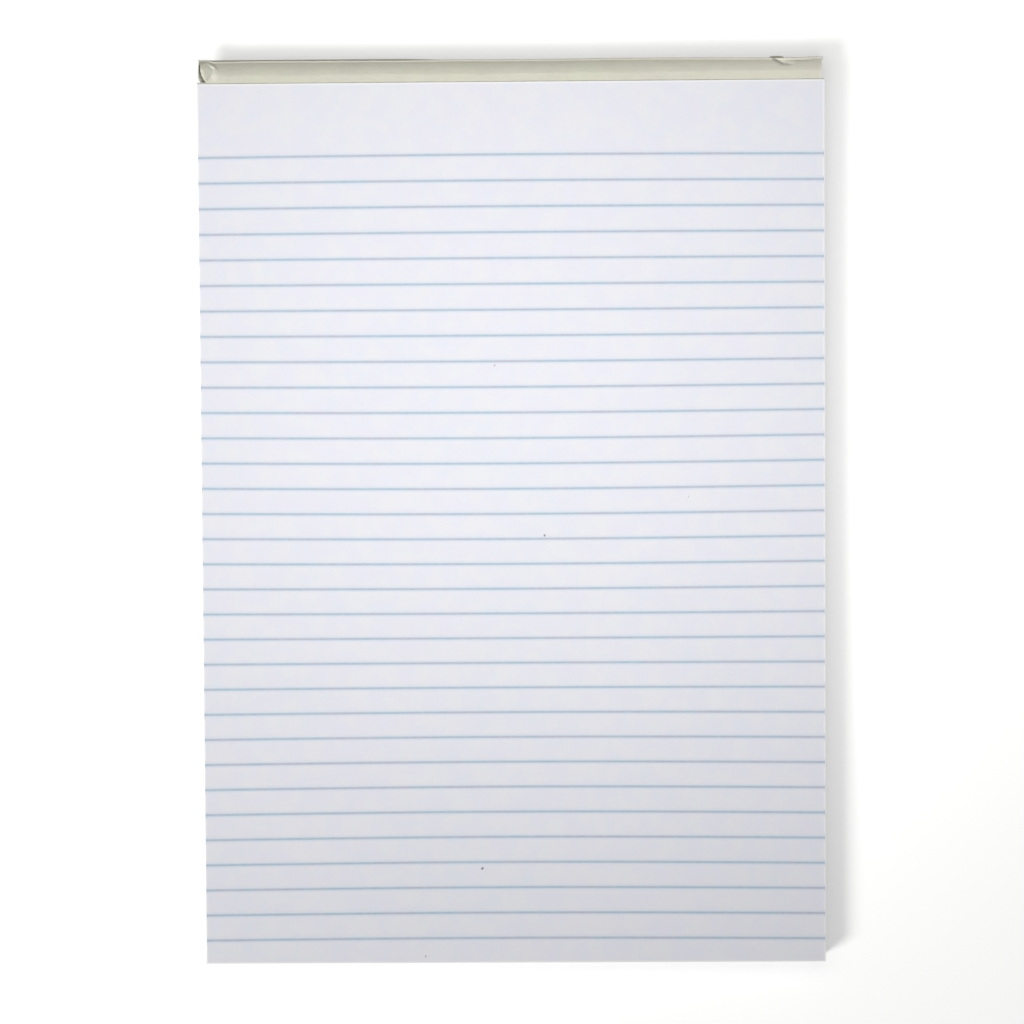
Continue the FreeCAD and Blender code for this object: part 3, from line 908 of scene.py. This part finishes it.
def strip_point(share, index):
    """The strip's outer side at a share of its length and a station of its section."""
    y, z = section[index] / MM
    past_nose = (station[index] - nose_station) / MM
    flat = PAGE_WIDTH_MM * share
    waves = WAVE_HEIGHT * rise(station[index] / MM / 4.0) * waver(flat, (61.0, 23.0, 9.4), 1.0)
    if index <= nose_end:
        if y > BEAD_MM:
            y = BEAD_MM + (y - BEAD_MM) * (nose_reach(flat) - BEAD_MM) / (REACH_MM - BEAD_MM)
        z += lip(past_nose) + waves
        z += shallower(flat) * max(y / nose_reach(flat), 0.0) ** 2
        inward, y_seen = as_seen(share, y, z)
        left = np.interp(y_seen, *zip(*LEFT_END)) + RAGGED * waver(y, (1.3, 0.63, 0.41), 2.0)
        right = np.interp(y_seen, *zip(*RIGHT_END))
        left, right = max(left - inward, END_MARGIN), max(right - inward, END_MARGIN)
        x = left + (PAGE_WIDTH_MM - left - right) * share
        height, wear_and_painted_light = crumple(x + inward, y_seen)
        # Paler towards the right end, and a painted highlight along the right end's cut edge.
        wear_and_painted_light += PALER_END_SHARE * rise((x - PALER_END_FROM) / PALER_END_OVER)
        wear_and_painted_light += EDGE_HIGHLIGHT * math.exp(-((PAGE_WIDTH_MM - right - x) / EDGE_HIGHLIGHT_WIDTH) ** 2)
        z += height + wrinkles(x + inward, y_seen)
        hairline = HAIRLINE * (1 + 0.4 * waver(x, (47.0, 19.0, 6.1), 3.0))
        y += hairline * (1 - rise(station[index] / MM / 1.5))
        return x, y, z, wear_and_painted_light
    x = END_MARGIN + (PAGE_WIDTH_MM - 2 * END_MARGIN) * share
    if z < 0.5 and y < BEAD_MM:
        return x, y, z, 0.0
    y = below_nose(flat, y, past_nose)
    inward, y_seen = as_seen(share, y, z)
    above, wear_and_painted_light = crumple(x + inward, y_seen)
    fade = 1 - rise(past_nose / FADE_PAST_NOSE)
    waves += shallower(flat)
    above += wrinkles(x + inward, y_seen) + waves
    z = squash(x, y, z + lip(past_nose) + above * fade)
    # Painted shade on the squashed underside behind the crushed left end.
    painted_shade = CREVICE_SHADE_SHARE * (1 - rise((x - CREVICE_SHADE_FROM) / CREVICE_SHADE_OVER)) * rise(past_nose / 0.5)
    painted_shade *= 0.35 + 0.65 * rise((y_seen - 1.0) / 2.0)
    return x, y, z, wear_and_painted_light * fade - painted_shade


print(f"the nose lies {nose_reach(20):.1f} mm beyond the head at the left,"
      f" and {nose_reach(190):.1f} mm at the right")

# %% [markdown]
# The mesh is a grid: the section's points by stations along the strip, which lie closer together
# where the paper is creased. The inner side is the same grid moved in by the paper's thickness,
# and a rim joins the two, so the strip is one closed sheet.

# %% Strip mesh
CREASED_LEFT, CREASED_RIGHT = 9.0, 188.0
strip_places = np.concatenate([
    np.arange(0.0, CREASED_LEFT, 0.16), np.arange(CREASED_LEFT, CREASED_RIGHT, 1.0),
    np.arange(CREASED_RIGHT, PAGE_WIDTH_MM, 0.22), [PAGE_WIDTH_MM],
]) / PAGE_WIDTH_MM


def make_strip():
    """The wrapped strip as a closed sheet of paper."""
    rows, columns = len(strip_places), len(section)
    values = np.array([[strip_point(share, index) for index in range(columns)]
                       for share in strip_places])
    outer = values[:, :, :3] * MM + (block_low.x, head, 0.0)
    along = np.gradient(outer, axis=0)
    down = np.gradient(outer, axis=1)
    normal = np.cross(down, along)
    normal /= np.linalg.norm(normal, axis=2, keepdims=True)
    inner = outer - normal * PAPER_THICKNESS
    points = np.concatenate([outer.reshape(-1, 3), inner.reshape(-1, 3)])
    points = points.clip(strip_low, (strip_high.x, strip_high.y, block_high.z))
    faces, _ = leaf_faces(columns, rows, 0)
    piece = add_piece("wrapped_strip", points, faces, [strip_material],
                      ("binding_strip",))
    # The nose's crease is painted paler: rubbed paper and a painted highlight.
    wear_and_highlight = 0.5 * np.exp(-(((station - nose_station) / MM + 0.15) / 0.42) ** 2)
    # The strip's painted tone: paler as wear and painted highlight, darker as painted shade.
    wear_and_painted_light = np.tile(values[:, :, 3].ravel(), 2)
    carry(piece, "wear_and_highlight", np.tile(wear_and_highlight, 2 * rows) + wear_and_painted_light.clip(0, 1))
    # Painted shade: the crumple's tone below zero and the crevice behind the crushed end.
    carry(piece, "painted_shade", (-wear_and_painted_light).clip(0, 1))
    smooth(piece)


# %% [markdown]
# The strip's paper is uncoated and cream-grey. It has cloudy patches, some a little pink and
# some a little green, and a visible fibre. Along the nose and in the crumple it is painted paler,
# as rubbed paper and a painted highlight, and behind the crushed end and on the crumple's dull
# facets it is painted dark, as painted shade.

# %% Finish of the strip
STRIP_PAPER = (0.715, 0.70, 0.59)
STRIP_PINK = (0.665, 0.635, 0.55)
STRIP_GREEN = (0.70, 0.72, 0.575)
STRIP_FIBRE = (0.50, 0.48, 0.40)
STRIP_WEAR_AND_HIGHLIGHT = (0.88, 0.84, 0.74)
STRIP_PAINTED_SHADE = (0.16, 0.15, 0.12)
strip_finish = Finish("strip_paper", roughness=0.88, specular=0.2)
patch = strip_finish.ramp(strip_finish.noise(9 * MM, detail=3.0, seed=19.0), 0.35, 0.65)
green = strip_finish.ramp(strip_finish.noise(14 * MM, detail=2.0, seed=23.0), 0.4, 0.7)
fibres = strip_finish.noise(0.7 * MM, detail=5.0, stretch=(0.35, 1.0, 1.0), seed=29.0)
strip_tone = strip_finish.blend(patch * 0.5, STRIP_PAPER, STRIP_PINK)
strip_tone = strip_finish.blend(green * 0.4, strip_tone, STRIP_GREEN)
strip_tone = strip_finish.blend(strip_finish.ramp(fibres, 0.45, 0.8) * 0.22, strip_tone,
                                STRIP_FIBRE)
# Paler as rubbed paper and a painted highlight.
strip_tone = strip_finish.blend(strip_finish.label("wear_and_highlight") * 0.75, strip_tone, STRIP_WEAR_AND_HIGHLIGHT)
# Painted shade behind the crushed end and on the crumple's dull facets.
strip_tone = strip_finish.blend(strip_finish.label("painted_shade"), strip_tone, STRIP_PAINTED_SHADE)
strip_material = strip_finish.finish(strip_tone, fibres, 0.05 * MM)
make_strip()

# %% [markdown]
# ## The bead of padding compound
#
# Padding compound is brushed on by hand. It dries to a thin rubbery skin with a slight gloss and
# shallow lumps, thinner towards its top and bottom edges.

# %% Glue
GLUE, GLUE_PALE = (0.66, 0.64, 0.58), (0.74, 0.73, 0.68)
glue_finish = Finish("padding_compound", roughness=0.38, specular=0.5)
lumps = glue_finish.noise(3.0 * MM, detail=3.0, seed=31.0)
glue_tone = glue_finish.blend(glue_finish.ramp(lumps, 0.3, 0.7), GLUE, GLUE_PALE)
glue_material = glue_finish.finish(glue_tone, lumps, 0.08 * MM)


def make_bead():
    """The bead as a closed lumpy skin over the head of the block."""
    columns, rows = 120, 12
    points = []
    for layer in (0.0, 1.0):
        for row in range(rows):
            for column in range(columns):
                across_share, up_share = column / (columns - 1), row / (rows - 1)
                x = bead_low.x + (bead_high.x - bead_low.x) * across_share
                z = bead_low.z + (bead_high.z - bead_low.z) * up_share
                full = (1 - abs(2 * up_share - 1) ** 8) * 0.22 + 0.78
                lump = 1 - 0.10 * (0.5 + 0.5 * waver(x / MM, (17.0, 7.3, 3.1), z / MM))
                depth = (bead_high.y - bead_low.y) * full * lump
                points.append((x, bead_low.y + depth * layer, z))
    faces, _ = leaf_faces(columns, rows, 0)
    piece = add_piece("glue_bead", points, [face[::-1] for face in faces],
                      [glue_material], ("head_glue",))
    smooth(piece)


make_bead()

# %% [markdown]
# ## The chipboard back
#
# Chipboard is pressed from waste paper. Its face is grey-brown with long fibres and darker and
# lighter flecks, and its cut edge is rougher. The board gets slightly rounded arrises.

# %% Chipboard
BOARD, BOARD_PALE = (0.36, 0.335, 0.29), (0.44, 0.42, 0.37)
DARK_FLECK, LIGHT_FLECK = (0.14, 0.13, 0.12), (0.62, 0.6, 0.55)
board_finish = Finish("chipboard", roughness=0.92, specular=0.15)
pulp = board_finish.noise(1.8 * MM, detail=6.0, rough=0.65, stretch=(1.0, 0.4, 1.0), seed=37.0)
dark_fleck = board_finish.ramp(board_finish.noise(0.9 * MM, detail=2.0, seed=41.0), 0.66, 0.74)
light_fleck = board_finish.ramp(board_finish.noise(1.3 * MM, detail=2.0, seed=43.0), 0.68, 0.75)
board_tone = board_finish.blend(board_finish.ramp(pulp, 0.3, 0.7), BOARD, BOARD_PALE)
board_tone = board_finish.blend(dark_fleck * 0.6, board_tone, DARK_FLECK)
board_tone = board_finish.blend(light_fleck * 0.5, board_tone, LIGHT_FLECK)
board_material = board_finish.finish(board_tone, pulp, 0.12 * MM)
ARRIS = 0.12 * MM


def make_board():
    """The board as a closed slab with rounded arrises."""
    columns, rows = 22, 31
    points = []
    for layer in (0, 1):
        for row in range(rows):
            for column in range(columns):
                x = board_low.x + (board_high.x - board_low.x) * column / (columns - 1)
                y = board_low.y + (board_high.y - board_low.y) * row / (rows - 1)
                points.append((x, y, board_high.z if layer else board_low.z))
    faces, _ = leaf_faces(columns, rows, 0)
    piece = add_piece("board_back", points, faces, [board_material],
                      ("backing_board",))
    rounding = piece.modifiers.new("arrises", "BEVEL")
    rounding.width = ARRIS
    rounding.segments = 2
    rounding.limit_method = "ANGLE"


make_board()
